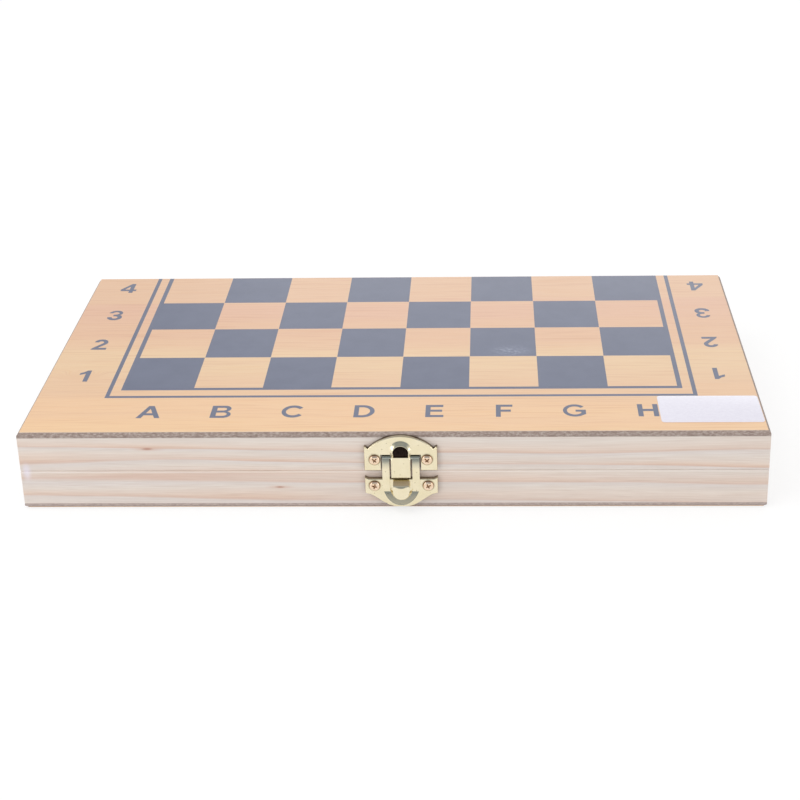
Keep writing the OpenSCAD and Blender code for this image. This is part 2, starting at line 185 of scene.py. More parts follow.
def spot(tree, place, middle, reach):
    """1 at a point given in millimetres, falling softly to 0 at its reach along each axis."""
    away = add(tree, "ShaderNodeVectorMath", {0: place, 1: [-v * MM for v in middle]})
    away = add(tree, "ShaderNodeMapping", {"Vector": away, "Scale": per_mm(*reach)})
    far = add(tree, "ShaderNodeVectorMath", {0: away}, operation="LENGTH")
    return add(tree, "ShaderNodeMapRange", {0: far, 1: 1.0, 2: 0.1}, interpolation_type="SMOOTHSTEP")


def near_height(tree, place, middle, reach):
    """1 at a height in metres, falling softly to 0 a small reach above and below it."""
    height = add(tree, "ShaderNodeSeparateXYZ", {0: place}).outputs["Z"]
    away = add(tree, "ShaderNodeMath", {0: height, 1: middle}, operation="SUBTRACT")
    away = add(tree, "ShaderNodeMath", {0: away}, operation="ABSOLUTE")
    inner = 0.3 * reach
    return add(tree, "ShaderNodeMapRange", {0: away, 1: reach, 2: inner}, interpolation_type="SMOOTHSTEP")


def finish(tree, shader, base, bump=None, strength=0.3, relief_mm=0.05, roughness=None):
    """Links a pattern to the shader's colour, and others to its bump and roughness."""
    tree.links.new(next(output for output in base.outputs if output.enabled), shader.inputs["Base Color"])
    if bump:
        settings = {"Height": bump, "Strength": strength, "Distance": relief_mm * MM}
        relief = add(tree, "ShaderNodeBump", settings)
        tree.links.new(relief.outputs[0], shader.inputs["Normal"])
    if roughness:
        tree.links.new(roughness.outputs[0], shader.inputs["Roughness"])


print("a mid grey, as light:", round(colour("#808080")[0], 3))

# %% [markdown]
# ## The studio
# A packshot: a white floor that runs out of view, even soft light from all round, one
# large soft lamp above, a low one behind that lifts the varnish, and two narrow ones at
# the sides. A dark card hangs over the camera, because bright brass needs something
# dark to mirror. Mirrors don't see the large lamp, so that the varnish has no glare of
# it from behind.

# %% Floor
FLOOR_HALF, FLOOR_DROP = 4.0, 0.05 * MM
PAPER_WHITE, PAPER_GLOW, GLOW_SHARE = 0.93, 1.06, 0.7


def looked_at(tree, path):
    """1 for rays from the camera, a mirror or glass, 0 for the light on the object."""
    seen = path.outputs["Is Camera Ray"]
    for kind in ("Is Glossy Ray", "Is Transmission Ray"):
        seen = add(tree, "ShaderNodeMath", {0: seen, 1: path.outputs[kind]}, operation="MAXIMUM")
    return seen


floor_mesh = bpy.data.meshes.new("floor")
made = bmesh.new()
bmesh.ops.create_grid(made, x_segments=1, y_segments=1, size=FLOOR_HALF)
made.to_mesh(floor_mesh)
made.free()
floor = bpy.data.objects.new("floor", floor_mesh)
floor.location.z = -FLOOR_DROP
scene.collection.objects.link(floor)

floor_paper = bpy.data.materials.new("floor_paper")
floor_paper.use_nodes = True
tree = floor_paper.node_tree
tree.nodes.clear()
path = add(tree, "ShaderNodeLightPath")
matte = add(tree, "ShaderNodeBsdfDiffuse", {"Color": [PAPER_WHITE] * 3 + [1]})
glow = add(tree, "ShaderNodeEmission", {"Color": colour("#ffffff"), "Strength": PAPER_GLOW})
share = add(tree, "ShaderNodeMath", {0: looked_at(tree, path), 1: GLOW_SHARE}, operation="MULTIPLY")
paper = add(tree, "ShaderNodeMixShader", {0: share, 1: matte, 2: glow})
add(tree, "ShaderNodeOutputMaterial", {"Surface": paper})
floor_mesh.materials.append(floor_paper)
print("floor", 2 * FLOOR_HALF, "m wide")

# %% World and lamps
AMBIENT = 0.78
# The dark card: only mirrors see it. It reaches from the front horizon past overhead.
# Each edge fades out between two values of a heading's backward or sideways part.
CARD_BACK, CARD_SIDE = (0.62, 0.28), (0.74, 0.48)

world = bpy.data.worlds.new("studio")
scene.world = world
world.use_nodes = True
tree = world.node_tree
tree.nodes.clear()
path = add(tree, "ShaderNodeLightPath")
level = add(tree, "ShaderNodeMapRange", {0: looked_at(tree, path), 3: AMBIENT, 4: 1.0})
heading = add(tree, "ShaderNodeTexCoord").outputs["Generated"]
axes = add(tree, "ShaderNodeSeparateXYZ", {0: heading})
aside = add(tree, "ShaderNodeMath", {0: axes.outputs["X"]}, operation="ABSOLUTE")
card = path.outputs["Is Glossy Ray"]
for part, (outer, inner) in ((axes.outputs["Y"], CARD_BACK), (aside, CARD_SIDE)):
    within = {0: part, 1: outer, 2: inner}
    within = add(tree, "ShaderNodeMapRange", within, interpolation_type="SMOOTHSTEP")
    card = add(tree, "ShaderNodeMath", {0: card, 1: within}, operation="MULTIPLY")
grey = add(tree, "ShaderNodeValToRGB", {"Fac": axes.outputs["Z"]}, [
    (0.1, "#8d97a5"), (0.35, "#8f99a7"), (0.62, "#b9bcc2"), (0.9, "#a29a94"),
])
tone = add(tree, "ShaderNodeMix", {0: card, 6: colour("#ffffff"), 7: grey}, data_type="RGBA")
air = add(tree, "ShaderNodeBackground", {"Color": tone, "Strength": level})
add(tree, "ShaderNodeOutputWorld", {"Surface": air})


def softbox(name, place, target, size, watts, mirrored=True):
    """A rectangular soft lamp that the camera doesn't see, and mirrors only if told so."""
    lamp = bpy.data.lights.new(name, "AREA")
    lamp.shape = "RECTANGLE"
    lamp.size, lamp.size_y = size
    lamp.energy = watts
    holder = bpy.data.objects.new(name, lamp)
    holder.location = place
    holder.rotation_euler = (Vector(target) - Vector(place)).to_track_quat("-Z", "Y").to_euler()
    holder.visible_camera = False
    holder.visible_glossy = mirrored
    scene.collection.objects.link(holder)


softbox("key", (-0.7, -0.45, 1.2), (0, 0, 0), (1.2, 0.8), 5.5, mirrored=False)
softbox("back", (0.4, 1.5, 0.42), (0, 0, 0), (1.6, 0.5), 3.2)
softbox("left_strip", (-0.75, -0.75, 0.2), (0, -0.07, 0.02), (0.16, 0.5), 0.9)
softbox("right_strip", (0.8, -0.75, 0.2), (0, -0.07, 0.02), (0.16, 0.5), 0.9)

scene.view_settings.view_transform = "Standard"
print("lamps:", [lamp.name for lamp in bpy.data.lights])

# %% [markdown]
# ## Printed paper
# The board's faces are fibreboard covered with printed paper. The print is a wood
# grain that runs from file to file: warm yellow bands, peach bands, and fine darker
# streaks. The lid shows one faint knot near the corner. A satin varnish over the print
# makes it reflect more towards the far edge. The paper's cut edge is paler: its own
# pale core, with a painted highlight along it.

# %% Printed paper
GRAIN_SWAY, KNOT_PUSH = 7 * MM, 5 * MM
PAPER_KNOT, PAPER_KNOT_REACH = (-130.5, -25.5, top_z / MM), (13, 6.5, 60)
ZONE_SWAY = 0.34
CUT_EDGE_DOWN, CUT_EDGE_REACH = 0.11 * MM, 0.09 * MM

printed, tree, shader, place = material("varnished_printed_paper", 0.34)
# A knot pushes the grain aside: a swirl that fades 13 mm from its middle.
knot = spot(tree, place, PAPER_KNOT, PAPER_KNOT_REACH)
wander = grains(tree, place, (120, 26, 60))
drift = {0: wander, 1: GRAIN_SWAY, 2: -GRAIN_SWAY / 2}
drift = add(tree, "ShaderNodeMath", drift, operation="MULTIPLY_ADD")
drift = add(tree, "ShaderNodeMath", {0: knot, 1: KNOT_PUSH, 2: drift}, operation="MULTIPLY_ADD")
shift = add(tree, "ShaderNodeCombineXYZ", {"Y": drift})
grain_place = add(tree, "ShaderNodeVectorMath", {0: place, 1: shift})
# Broad zones: golden at the latch edge, peach towards the hinge, swayed by noise.
bands = grains(tree, grain_place, (420, 15, 300), 1.5, offset=(0.3, 0.62, 0))
depth = add(tree, "ShaderNodeSeparateXYZ", {0: grain_place}).outputs["Y"]
zone = add(tree, "ShaderNodeMapRange", {0: depth, 1: front_y, 2: hinge_y})
zone = add(tree, "ShaderNodeMath", {0: bands, 1: ZONE_SWAY, 2: zone}, operation="MULTIPLY_ADD")
base = add(tree, "ShaderNodeValToRGB", {"Fac": zone}, [
    (0.14, "#efca9d"), (0.3, "#ecc59d"), (0.42, "#e5c09d"), (0.6, "#e7c7a1"), (0.74, "#e3bb9a"),
    (0.95, "#e0b69b"), (1.0, "#e2bc9c"),
])
streaks = grains(tree, grain_place, (46, 0.9, 300), 4.0, 0.6)
base = shaded(tree, base, streaks, [(0.34, "#f5ebe5"), (0.5, "#ffffff"), (0.66, "#fcf6ee")])
base = stain_or_painted_light(tree, base, knot, 0.35, "#dcae8c")
# The cut edge: the paper's pale core, and a painted highlight along it.
cut_edge_core_and_highlight = near_height(tree, place, top_z - CUT_EDGE_DOWN, CUT_EDGE_REACH)
base = stain_or_painted_light(tree, base, cut_edge_core_and_highlight, 1.0, "#efe2d2")
finish(tree, shader, base)
print("made", printed.name)

# %% [markdown]
# ## Dark ink
# The squares, lines and letters are one blue-grey ink under the same satin varnish,
# which mirrors the white room at this low angle and softens the ink to slate grey. On
# one square the varnish has a dull smear.

# %% Dark ink
SMEAR, SMEAR_REACH = (47, -4.2, top_z / MM), (12, 6.5, 9)

ink, tree, shader, place = material("varnished_dark_ink", 0.3)
cloud = grains(tree, place, (9, 9, 9), 5.0, 0.6)
base = add(tree, "ShaderNodeValToRGB", {"Fac": cloud}, [(0.35, "#5e657c"), (0.65, "#636a81")])
# The smear lies on the square F2, where something was dragged over the varnish.
dust = grains(tree, place, (1.6, 1.1, 9), 5.0, 0.7)
dust = add(tree, "ShaderNodeMapRange", {0: dust, 1: 0.42, 2: 0.72})
base = stain_or_painted_light(tree, base, spot(tree, place, SMEAR, SMEAR_REACH), dust, "#9299af")
rub = grains(tree, place, (7, 3, 7), 4.0, 0.7, offset=(3.1, 0.4, 0))
rub = add(tree, "ShaderNodeMapRange", {0: rub, 1: 0.62, 2: 0.8, 3: 0.3, 4: 0.42})
finish(tree, shader, base, roughness=rub)
print("made", ink.name)

# %% [markdown]
# ## Pine
# The rails are planed, unvarnished pine. Growth rings are shells round the heart of the
# tree, so the grain is drawn in three dimensions: distance from a far axis along the
# rail, bent a little by noise. Each ring darkens slowly to orange-pink late wood and
# ends sharply. Front and back rails show level bands, and the ends show arcs without
# any extra work. Wood fibres are a few hundredths of a millimetre wide, too fine to
# show, so they are drawn ten times as coarse. Two small knots and one rubbed place at
# the left corner are this box's own marks. Along the seam lie a darker line of painted
# shadow, broken here and there, and a paler line of painted highlight below it.

# %% Pine
RING_MM, RING_BEND, RING_UNEVEN = 5.4, 4, 2.2
# Each knot's middle along and up the front, and its reach, in millimetres.
KNOTS = (((-94.5, 26.4), (9, 9, 1.3)), ((-43.8, 9.4), (7, 9, 1.0)))
# A height above the seam and a reach, in millimetres.
SEAM_SHADOW_LINE, SEAM_HIGHLIGHT_LINE = (0.05, 0.28), (-0.55, 0.4)
RUBBED, RUBBED_REACH = (-142.6, front_y / MM, 16.4), (2.4, 4, 5.2)


def pine(name, turn, heart):
    """Pine whose fibres run along X, or along Y with a turn of 90 degrees."""
    made, tree, shader, place = material(name, 0.55)
    fibre_place = place
    if turn:
        turned = {"Vector": place, "Rotation": (0, 0, math.radians(turn))}
        fibre_place = add(tree, "ShaderNodeMapping", turned)
    bend = grains(tree, fibre_place, (110, 24, 18)).outputs["Color"]
    bend = add(tree, "ShaderNodeVectorMath", {0: bend, 1: (0.5, 0.5, 0.5)}, operation="SUBTRACT")
    bend = add(tree, "ShaderNodeVectorMath", {0: bend, "Scale": RING_BEND * MM}, operation="SCALE")
    bent = add(tree, "ShaderNodeVectorMath", {0: fibre_place, 1: bend})
    across = {0: bent, 1: (0, 1, 1), 2: [-h * MM for h in heart]}
    across = add(tree, "ShaderNodeVectorMath", across, operation="MULTIPLY_ADD")
    radius = add(tree, "ShaderNodeVectorMath", {0: across}, operation="LENGTH")
    uneven = grains(tree, bent, (400, 11, 11), 1.0)
    rings = add(tree, "ShaderNodeMath", {0: radius, 1: 1 / (RING_MM * MM)}, operation="MULTIPLY")
    rings = add(tree, "ShaderNodeMath", {0: uneven, 1: RING_UNEVEN, 2: rings}, operation="MULTIPLY_ADD")
    ring = add(tree, "ShaderNodeMath", {0: rings}, operation="FRACT")
    base = add(tree, "ShaderNodeValToRGB", {"Fac": ring}, [
        (0.0, "#ddd5d1"), (0.3, "#e2d8cf"), (0.58, "#e3d3c7"), (0.8, "#dfc7b6"), (0.88, "#d8b9a8"),
        (0.96, "#ddd2cb"), (1.0, "#ddd5d1"),
    ])
    # Rings fade in and out along the rail.
    fade = grains(tree, bent, (90, 5, 5), 1.0)
    fade = add(tree, "ShaderNodeMapRange", {0: fade, 1: 0.35, 2: 0.65, 3: 0.0, 4: 0.5})
    base = stain_or_painted_light(tree, base, fade, 1.0, "#dcd2cb")
    fibres = grains(tree, bent, (24, 0.35, 0.35), 3.0, 0.65)
    base = shaded(tree, base, fibres, [(0.3, "#f3eeeb"), (0.62, "#ffffff")])
    # Knots: an eye of reddish brown with a long pale halo.
    for (along, up), reach in KNOTS:
        middle = (along, front_y / MM, up)
        base = stain_or_painted_light(tree, base, spot(tree, place, middle, reach), 0.5, "#cfaa97")
        core = (reach[0] * 0.36, reach[1], reach[2] * 0.6)
        base = stain_or_painted_light(tree, base, spot(tree, place, middle, core), 0.8, "#b07f6b")
    # A painted shadow lies along the seam, broken here and there, and a painted highlight below it, on the
    # upright faces only.
    normal = add(tree, "ShaderNodeTexCoord").outputs["Normal"]
    facing = add(tree, "ShaderNodeSeparateXYZ", {0: normal}).outputs["Z"]
    facing = add(tree, "ShaderNodeMath", {0: facing}, operation="ABSOLUTE")
    upright = add(tree, "ShaderNodeMath", {0: facing, 1: 0.5}, operation="LESS_THAN")
    seam_shadow = grains(tree, place, (22, 22, 40), 3.0)
    seam_shadow = add(tree, "ShaderNodeMapRange", {0: seam_shadow, 1: 0.36, 2: 0.62, 3: 0.15, 4: 0.9})
    for (up, reach), share, code in ((SEAM_SHADOW_LINE, seam_shadow, "#a87c70"), (SEAM_HIGHLIGHT_LINE, 0.45, "#eee5df")):
        line = near_height(tree, place, seam_z + up * MM, reach * MM)
        line = add(tree, "ShaderNodeMath", {0: line, 1: upright}, operation="MULTIPLY")
        base = stain_or_painted_light(tree, base, line, share, code)
    base = stain_or_painted_light(tree, base, spot(tree, place, RUBBED, RUBBED_REACH), 0.6, "#e6e0ee")
    finish(tree, shader, base, bump=fibres, strength=0.25)
    return made


pine_along = pine("planed_pine_along_the_seam", 0, (0, 10, 84))
pine_across = pine("planed_pine_across", 90, (0, 14, 66))
print("made", pine_along.name, "and", pine_across.name)

# %% [markdown]
# ## Fibreboard
# The panels' cut edges show bare fibreboard: brown-grey, mottled with bundles of fibre
# about a millimetre long, and rough enough to scatter light evenly. The lower panel gets
# paler towards the bottom: painted light, as from the white floor.

# %% Fibreboard
fibreboard, tree, shader, place = material("cut_fibreboard", 0.85)
fibre = grains(tree, place, (1.3, 0.7, 0.6), 4.0, 0.7)
base = add(tree, "ShaderNodeValToRGB", {"Fac": fibre}, [
    (0.33, "#85746c"), (0.5, "#9d8d85"), (0.66, "#b8aba3"),
])
height = add(tree, "ShaderNodeSeparateXYZ", {0: place}).outputs["Z"]
# Painted light: the lower panel is paler towards the bottom.
painted_floor_light = add(tree, "ShaderNodeMapRange", {0: height, 1: seam_z, 2: 0.0, 3: 0.0, 4: 0.35})
base = stain_or_painted_light(tree, base, painted_floor_light, 1.0, "#d2c3c1")
finish(tree, shader, base, bump=fibre, strength=0.6, relief_mm=0.15)
print("made", fibreboard.name)

# %% [markdown]
# ## Brass
# Bright rolled brass, lacquered thinly: almost a mirror, with a faint haze, and small
# dark specks where the lacquer is worn. A metal takes its colour from its reflection, so
# the base colour is the tint of polished yellow brass. Metal close to the wood, on the
# turned edges, is darkened with painted shade. A painted shadow rings the four screw
# heads, and the loop gets a brass of its own, with painted shade and reflection that
# darken it towards its bar.

# %% Brass
SHADOW_RING_REACH, SHADOW_RING_SHARE, SHADOW_RING_UP = (3.1, 6, 3.1), 3.2, 0.15
SPECKS_APART = 1.6


def close_to_wood(tree, place, near, far):
    """0 well in front of the wood, 1 close to it, and 0 again away from the latch."""
    depth = add(tree, "ShaderNodeSeparateXYZ", {0: place}).outputs["Y"]
    low, high = front_y - near * MM, front_y - far * MM
    close = add(tree, "ShaderNodeMapRange", {0: depth, 1: low, 2: high}, interpolation_type="SMOOTHSTEP")
    here = add(tree, "ShaderNodeMath", {0: depth, 1: front_y + MM}, operation="LESS_THAN")
    return add(tree, "ShaderNodeMath", {0: close, 1: here}, operation="MULTIPLY")


def rolled_brass(name, dark_top=None):
    """Brass for the latch and hinges; a dark top, painted shade, is two heights in mm above the seam."""
    made, tree, shader, place = material(name, 0.2, Metallic=1.0)
    tint = grains(tree, place, (6, 6, 6))
    base = add(tree, "ShaderNodeValToRGB", {"Fac": tint}, [(0.35, "#ebdfbd"), (0.65, "#f0e5c7")])
    cells = add(tree, "ShaderNodeMapping", {"Vector": place, "Scale": per_mm(*[SPECKS_APART] * 3)})
    speck = add(tree, "ShaderNodeTexVoronoi", {"Vector": cells, "Scale": 1.0, "Randomness": 1.0})
    base = shaded(tree, base, speck, [(0.06, "#a08f68"), (0.12, "#ffffff")])
    # Painted shade: metal close to the wood is darker.
    base = stain_or_painted_light(tree, base, close_to_wood(tree, place, 1.75, 1.1), 1.0, "#8d8270")
    if dark_top:
        # Painted shade and reflection darken the loop towards its bar.
        height = add(tree, "ShaderNodeSeparateXYZ", {0: place}).outputs["Z"]
        low, high = [LATCH.z + z * MM for z in dark_top]
        painted_top_shade = add(tree, "ShaderNodeMapRange", {0: height, 1: low, 2: high})
        base = stain_or_painted_light(tree, base, painted_top_shade, 1.0, "#88928f")
    # A painted shadow rings each screw head, a little above its middle.
    # A share above 1 fills most of each spot and keeps only its rim soft.
    for x, z in (UPPER_SCREW, LOWER_SCREW):
        for side in (-1, 1):
            middle = LATCH / MM + Vector((side * x, 0, z + SHADOW_RING_UP))
            screw_shadow = spot(tree, place, middle, SHADOW_RING_REACH)
            base = stain_or_painted_light(tree, base, screw_shadow, SHADOW_RING_SHARE, "#776848")
    haze = add(tree, "ShaderNodeMapRange", {0: tint, 3: 0.12, 4: 0.26})
    finish(tree, shader, base, roughness=haze)
    return made


brass = rolled_brass("bright_rolled_brass")
shaded_loop_brass = rolled_brass("rolled_brass_with_painted_shade", (2.0, 7.6))
print("made", brass.name, "and", shaded_loop_brass.name)

# %% [markdown]
# ## Small metal and paper
# The screws are steel with a thin coppery plating, worn cloudy, with painted shade round
# the rim. The hinge pins are drawn wire, with lines along it that are drawn wider than real
# ones so that they show. A spring of blued steel is dark and dull, its darkness painted
# shade. Inside are printed points on a plain lining paper. The sticker is white paper with
# a gloss.

# %% Screws, wire and spring
copper, tree, shader, place = material("coppery_plated_steel", 0.22, Metallic=1.0)
wear = grains(tree, place, (1.6, 1.6, 1.6), 3.0)
base = add(tree, "ShaderNodeValToRGB", {"Fac": wear}, [(0.35, "#ecd0b2"), (0.65, "#f4dec6")])
# Painted shade darkens the heads' rims, close to the plate.
base = stain_or_painted_light(tree, base, close_to_wood(tree, place, 2.55, 2.1), 1.0, "#a17c5e")
haze = add(tree, "ShaderNodeMapRange", {0: wear, 3: 0.16, 4: 0.3})
finish(tree, shader, base, roughness=haze)

steel, tree, shader, place = material("drawn_steel_wire", 0.3, Metallic=1.0)
lines = grains(tree, place, (9, 0.12, 0.12), 2.0)
base = add(tree, "ShaderNodeValToRGB", {"Fac": lines}, [(0.35, "#a9a9a6"), (0.65, "#c6c6c2")])
finish(tree, shader, base, bump=lines, strength=0.2, relief_mm=0.02)

# Its dark colour is painted shade for the hole that the spring lies behind.
spring, tree, shader, place = material("blued_spring_steel_as_painted_shade", 0.4, Metallic=1.0)
lines = grains(tree, place, (0.5, 0.5, 5), 2.0)
base = add(tree, "ShaderNodeValToRGB", {"Fac": lines}, [(0.35, "#2b211c"), (0.65, "#40322a")])
finish(tree, shader, base, bump=lines, strength=0.2, relief_mm=0.02)
print("made", copper.name, steel.name, "and", spring.name)

# %% Inks, lining and sticker
red_ink, tree, shader, place = material("brown_red_ink", 0.5)
cloud = grains(tree, place, (5, 1.2, 5), 4.0, 0.6)
base = add(tree, "ShaderNodeValToRGB", {"Fac": cloud}, [(0.35, "#96432f"), (0.65, "#a9573f")])
finish(tree, shader, base)

lining, tree, shader, place = material("plain_lining_paper", 0.6)
felt = grains(tree, place, (14, 0.7, 14), 4.0, 0.65)
base = add(tree, "ShaderNodeValToRGB", {"Fac": felt}, [
    (0.33, "#e3c49c"), (0.5, "#ecd2ae"), (0.66, "#f1dcbd"),
])
finish(tree, shader, base, bump=grains(tree, place, (0.5, 0.5, 0.5), 3.0), strength=0.2)

sticker, tree, shader, place = material("glossy_white_sticker", 0.3)
pulp = grains(tree, place, (1.1, 0.6, 1), 4.0, 0.7)
base = add(tree, "ShaderNodeValToRGB", {"Fac": pulp}, [(0.3, "#e3e0ec"), (0.7, "#edebf5")])
finish(tree, shader, base, bump=grains(tree, place, (9, 9, 9)), strength=0.3, relief_mm=0.1)
print("made", red_ink.name, lining.name, "and", sticker.name)

# %% [markdown]
# ## Dressing the solids
# The record names a finish for each solid. Rails that run from front to back get pine
# whose fibres are turned that way.

# %% Dress
by_slot = {
    "fibreboard": fibreboard, "printed_paper": printed, "dark_ink": ink, "lining_paper": lining,
    "red_ink": red_ink, "pine": pine_along, "brass": brass, "copper_screws": copper, "steel": steel,
    "label_paper": sticker,
}
for part in frame["record"]["subparts"]:
    across = part["node"].endswith(("left_rail", "right_rail"))
    covers = nodes[part["node"]].data.materials
    covers.clear()
    covers.append(pine_across if across else by_slot[part["material_slot"]])

# %% [markdown]
# ## Pressed brass
# The latch is cut from thin brass sheet and pressed. The fixed solids have its exact
# places but sharp edges, so finer pieces replace them. Each is symmetrical, so half of
# it is traced with straight runs and spun arcs, filled, cut into small faces, pushed
# into relief, mirrored, and given the thickness of the sheet. Soft pressed edges and
# drawn-out metal are what the eye reads as brass.

# %% Helpers for sheet metal
SLIVER = 0.04 * MM
SAME = 1e-6
# Slices miss the outline's own points by a hair, so that they cut no edge twice.
SLICE_SHIFT = 0.00137
# Edges that turn by more than these are softened, or else shaded as sharp.
SOFTEN_FROM, SHARP_FROM = math.radians(50), math.radians(34)


def only_verts(geometry):
    """The vertices among what an operator returned."""
    return [item for item in geometry if isinstance(item, bmesh.types.BMVert)]


def trace(made, start, *moves):
    """A closed outline from the front: (x, z) runs to a point, (x, z, degrees) turns about it."""
    last = made.verts.new((start[0] * MM, 0, start[1] * MM))
    for move in moves:
        if len(move) == 2:
            last = bmesh.ops.extrude_vert_indiv(made, verts=[last])["verts"][0]
            last.co = (move[0] * MM, 0, move[1] * MM)
        else:
            spun = bmesh.ops.spin(
                made, geom=[last], cent=(move[0] * MM, 0, move[1] * MM), axis=(0, -1, 0),
                angle=math.radians(move[2]), steps=max(2, round(abs(move[2]) / 5)),
            )
            last = only_verts(spun["geom_last"])[0]
    bmesh.ops.remove_doubles(made, verts=made.verts[:], dist=SAME)
    ends = [v for v in made.verts if len(v.link_edges) == 1]
    if len(ends) == 2:
        made.edges.new(ends)


def fill(made):
    """Fills the traced outlines, leaving the ones inside others as holes."""
    bmesh.ops.triangle_fill(
        made, use_beauty=True, use_dissolve=True, edges=made.edges[:], normal=(0, -1, 0)
    )


def slice_up(made, step, axis):
    """Cuts every face along evenly spaced planes across one axis."""
    values = [v.co[axis] / MM for v in made.verts]
    low, high = min(values), max(values)
    count = max(1, round((high - low) / step))
    normal = [0, 0, 0]
    normal[axis] = 1
    for k in range(1, count):
        place = [0, 0, 0]
        place[axis] = (low + (high - low) * k / count + SLICE_SHIFT) * MM
        geometry = made.verts[:] + made.edges[:] + made.faces[:]
        bmesh.ops.bisect_plane(made, geom=geometry, plane_co=place, plane_no=normal, dist=1e-8)
    bmesh.ops.remove_doubles(made, verts=made.verts[:], dist=SLIVER)


def mirrored(made):
    """Adds the other half, joined along the middle, with every face towards the viewer."""
    geometry = made.verts[:] + made.edges[:] + made.faces[:]
    bmesh.ops.mirror(made, geom=geometry, axis="X", merge_dist=SAME)
    bmesh.ops.remove_doubles(made, verts=made.verts[:], dist=SAME)
    bmesh.ops.recalc_face_normals(made, faces=made.faces[:])
    if sum(face.normal.y * face.calc_area() for face in made.faces) > 0:
        bmesh.ops.reverse_faces(made, faces=made.faces[:])


def smooth(low, high, value):
    """0 at low, 1 at high, and a soft step between them."""
    t = min(max((value - low) / (high - low), 0), 1)
    return t * t * (3 - 2 * t)


def shown_mesh(holder):
    """An object's mesh with its modifiers carried out."""
    bpy.context.view_layer.update()
    graph = bpy.context.evaluated_depsgraph_get()
    return bpy.data.meshes.new_from_object(holder.evaluated_get(graph))


def finished(made, name, body, cover, replaced=(), sheet=0, offset=-1, edge=0, at=LATCH):
    """A piece: sheet thickness, softened edges, its finish and the body that it rides on."""
    bmesh.ops.translate(made, verts=made.verts[:], vec=at)
    mesh = bpy.data.meshes.new(name)
    made.to_mesh(mesh)
    made.free()
    piece = bpy.data.objects.new(name, mesh)
    scene.collection.objects.link(piece)
    if sheet:
        wall = piece.modifiers.new("sheet", "SOLIDIFY")
        wall.thickness, wall.offset, wall.use_even_offset = sheet * MM, offset, True
    if edge:
        soft = piece.modifiers.new("edge", "BEVEL")
        soft.width, soft.segments = edge * MM, 2
        soft.limit_method, soft.angle_limit = "ANGLE", SOFTEN_FROM
    baked = shown_mesh(piece)
    piece.modifiers.clear()
    piece.data = baked
    baked.name = name
    baked.shade_smooth()
    baked.set_sharp_from_angle(angle=SHARP_FROM)
    baked.materials.clear()
    baked.materials.append(cover)
    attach(piece, body)
    if replaced:
        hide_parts(*replaced)
    print(name, len(baked.polygons), "faces")


# %% [markdown]
# ## The upper plate
# An arched pressing whose rim turns back to the wood. A strap is cut free in its middle
# and bulges forward over the loop's bar, with an arched hole above it, and the metal
# round the hole is drawn out with it. One outline carries plate and strap. Slicing
# leaves the edge of a round hole ragged, so the hole is traced a little too wide and its
# edge is then extruded inwards as one even band. The relief is a hill round the strap.

# %% Upper plate outline
# All sizes are in millimetres, across and up from the latch's middle at the seam.
PLATE_W, PLATE_OUT, BRASS_T, RIM_BEND = 28.2, 1.8, 0.6, 0.38
ARCH_TOP, ARCH_R, PLATE_LOW = 15.9, 17.3, 0.9
HORN_TOP, HORN_W, HORN_TIP, TIP_DROP = 11.3, 1.4, 0.5, 0.15
SLOT_HALF, SLOT_TOP = 7.8, 7.9
STRAP_HALF, STRAP_OUT, STRAP_LOW = 3.7, 3.1, 1.6
HOLE_R, HOLE_Z, HOLE_LOW, HOLE_BAND = 3.1, 8.9, 7.2, 0.45
NEAR = 0.01

half = PLATE_W / 2
arch_z = ARCH_TOP - ARCH_R
neck = half - HORN_W
shoulder = arch_z + math.sqrt(ARCH_R**2 - neck**2)
wide_r = HOLE_R + HOLE_BAND
plate = bmesh.new()
trace(
    plate, (0, HOLE_Z + wide_r), (0, HOLE_Z, -90), (wide_r, HOLE_LOW), (0, HOLE_LOW),
    (0, -STRAP_LOW), (STRAP_HALF, -STRAP_LOW), (STRAP_HALF, SLOT_TOP),
    (SLOT_HALF, SLOT_TOP), (SLOT_HALF, PLATE_LOW), (half, PLATE_LOW),
    (half, HORN_TOP - TIP_DROP), (half - HORN_TIP, HORN_TOP), (neck, shoulder),
    (0, arch_z, math.degrees(math.asin(neck / ARCH_R))),
)
fill(plate)
print("half of the plate traced with", len(plate.verts), "points")

# %% Turned rim


def on_rim(edge):
    """Whether an edge of the traced half lies on the plate's outer rim."""
    middle = sum((v.co for v in edge.verts), Vector()) / 2 / MM
    above_hole = middle.z > HOLE_Z + wide_r and middle.x > NEAR
    return above_hole or middle.x > SLOT_HALF + NEAR


def turn_back(made, rim):
    """Turns the edges of a rim back to the wood, round a small bend."""
    turned = only_verts(bmesh.ops.extrude_edge_only(made, edges=rim)["geom"])
    bmesh.ops.translate(made, verts=turned, vec=(0, PLATE_OUT * MM, 0))
    bmesh.ops.recalc_face_normals(made, faces=made.faces[:])
    bmesh.ops.bevel(
        made, geom=rim, offset=RIM_BEND * MM, segments=4, profile=0.5, affect="EDGES", material=-1
    )


turn_back(plate, [edge for edge in plate.edges if on_rim(edge)])
slice_up(plate, 0.5, 0)
slice_up(plate, 0.5, 2)

# %% Band round the hole
BAND_STEPS, BAND_CATCH = 3, 0.08


def from_hole(vert):
    """How far a vertex is from the arched hole's middle line, in millimetres."""
    return math.hypot(vert.co.x, max(vert.co.z - HOLE_Z * MM, 0)) / MM


